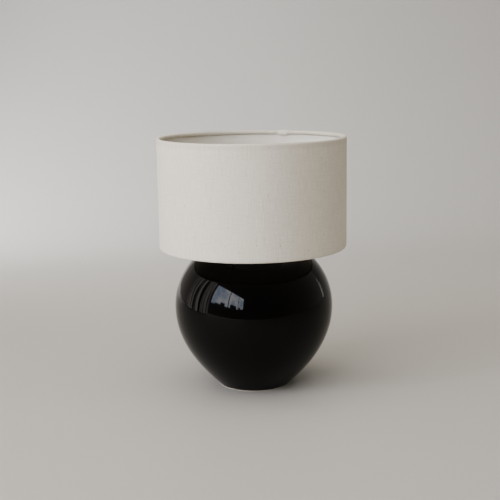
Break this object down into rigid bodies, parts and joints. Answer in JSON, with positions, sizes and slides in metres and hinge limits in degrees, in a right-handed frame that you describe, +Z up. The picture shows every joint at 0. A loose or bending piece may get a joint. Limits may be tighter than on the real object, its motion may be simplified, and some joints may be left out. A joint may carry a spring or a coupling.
{
  "type": "table lamp",
  "caption": "Table lamp with a squat round glazed base on a narrow foot, a push-through switch in the lampholder and a straight linen drum shade.",
  "frame": {"origin": "centre of the foot, on the table", "axes": "+Z up along the lamp's axis, +X to the right seen from the front, +Y away from the viewer, towards the cord outlet"},
  "size_m": [0.3, 0.3, 0.401],
  "materials": {
    "black_glaze": "glossy",
    "linen": "woven",
    "white_lining": "satin",
    "white_steel": "satin",
    "nickel": "polished",
    "zinc_steel": "satin",
    "brass": "satin",
    "black_plastic": "satin",
    "porcelain": "satin",
    "black_rubber": "matte",
    "felt": "felted",
    "black_glass": "glossy",
    "white_plastic": "satin",
    "opal_plastic": "satin"
  },
  "bodies": {
    "base": {"base_body": "black_glaze", "base_foot": "black_glaze", "foot_felt": "felt", "cord_grommet": "black_rubber", "rod_washer": "zinc_steel", "rod_nut": "zinc_steel", "threaded_rod": "zinc_steel", "neck_gasket": "black_rubber", "vase_cap": "nickel", "lock_nut": "nickel", "lampholder_cap": "black_plastic", "lampholder_grub_screw": "zinc_steel", "lampholder_skirt": "black_plastic", "lampholder_insert": "porcelain", "screw_shell": "nickel", "centre_contact": "brass", "shell_contact": "brass", "terminal_live": "brass", "terminal_neutral": "brass", "terminal_screw_live": "zinc_steel", "terminal_screw_neutral": "zinc_steel"},
    "switch": {"switch_bar": "black_plastic", "switch_contact": "brass"},
    "bulb_centre": {"bulb_tip": "zinc_steel"},
    "bulb": {"bulb_insulator": "black_glass", "bulb_cap": "nickel", "bulb_housing": "white_plastic", "led_board": "white_lining", "bulb_envelope": "opal_plastic"},
    "shade_seat": {"fitter_ring": "white_steel"},
    "shade": {"shade_cover": "linen", "shade_liner": "white_lining", "lower_ring": "white_steel", "upper_ring": "white_steel", "spider_arm_1": "white_steel", "spider_arm_2": "white_steel", "spider_arm_3": "white_steel"},
    "clamp_ring": {"shade_ring": "black_plastic"}
  },
  "joints": [
    {"name": "switch_slide", "type": "slide", "parent": "base", "child": "switch", "axis": [1, 0, 0], "range_m": [0, 0.007]},
    {"name": "bulb_rise", "type": "slide", "parent": "base", "child": "bulb_centre", "axis": [0, 0, 1], "range_m": [0, 0.01088]},
    {"name": "bulb_turn", "type": "hinge", "parent": "bulb_centre", "child": "bulb", "pos_m": [0, 0, 0.3], "axis": [0, 0, 1], "range_deg": [0, 1080]},
    {"name": "shade_lift", "type": "slide", "parent": "base", "child": "shade_seat", "axis": [0, 0, 1], "range_m": [0, 0.18]},
    {"name": "shade_turn", "type": "hinge", "parent": "shade_seat", "child": "shade", "pos_m": [0, 0, 0.266], "axis": [0, 0, 1], "continuous": true},
    {"name": "shade_ring_turn", "type": "hinge", "parent": "shade_seat", "child": "clamp_ring", "pos_m": [0, 0, 0.27], "axis": [0, 0, 1], "range_deg": [0, 1080]}
  ],
  "couplings": [
    {"joint": "bulb_turn", "follows": "bulb_rise", "rad_per_m": 1731.4}
  ]
}
